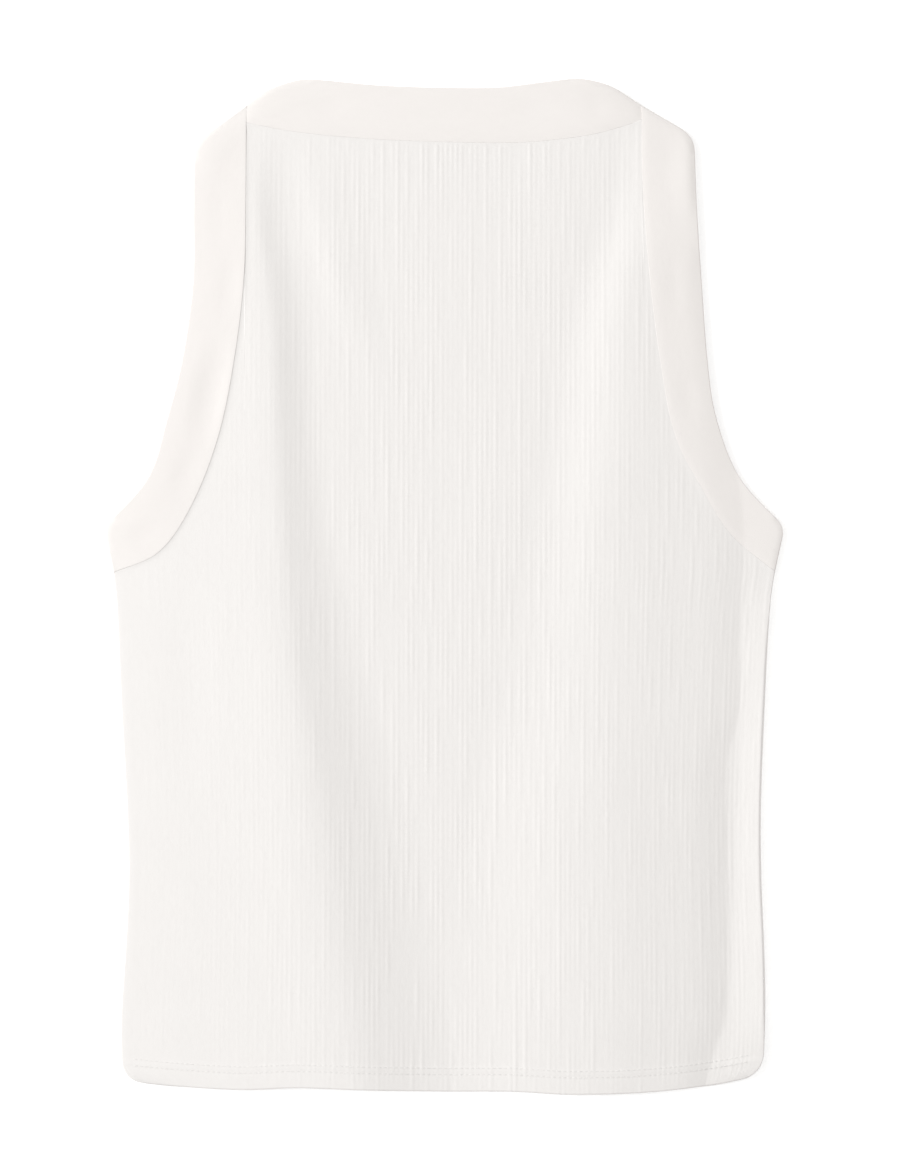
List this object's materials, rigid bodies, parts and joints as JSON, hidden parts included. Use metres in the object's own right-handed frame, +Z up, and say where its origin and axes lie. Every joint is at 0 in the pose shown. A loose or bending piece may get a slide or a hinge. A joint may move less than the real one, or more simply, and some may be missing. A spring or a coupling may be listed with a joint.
{
  "type": "tank top",
  "caption": "Sleeveless rib-knit tank top with a high boat neck and wide plain neck and armhole bands, laid flat with its front up.",
  "frame": {"origin": "middle of the garment's outline, on the surface it lies on", "axes": "+X to the right as the front is seen, +Y from the hem towards the neck, +Z up, out of the front"},
  "size_m": [0.3726, 0.5586, 0.0083],
  "materials": {
    "rib_knit": "matte rib knit",
    "plain_knit": "matte plain knit"
  },
  "bodies": {
    "root": {"front_panel": "rib_knit", "back_panel": "rib_knit", "front_neckband": "plain_knit", "back_neckband": "plain_knit", "front_left_armband": "plain_knit", "front_right_armband": "plain_knit", "back_left_armband": "plain_knit", "back_right_armband": "plain_knit"}
  },
  "joints": []
}
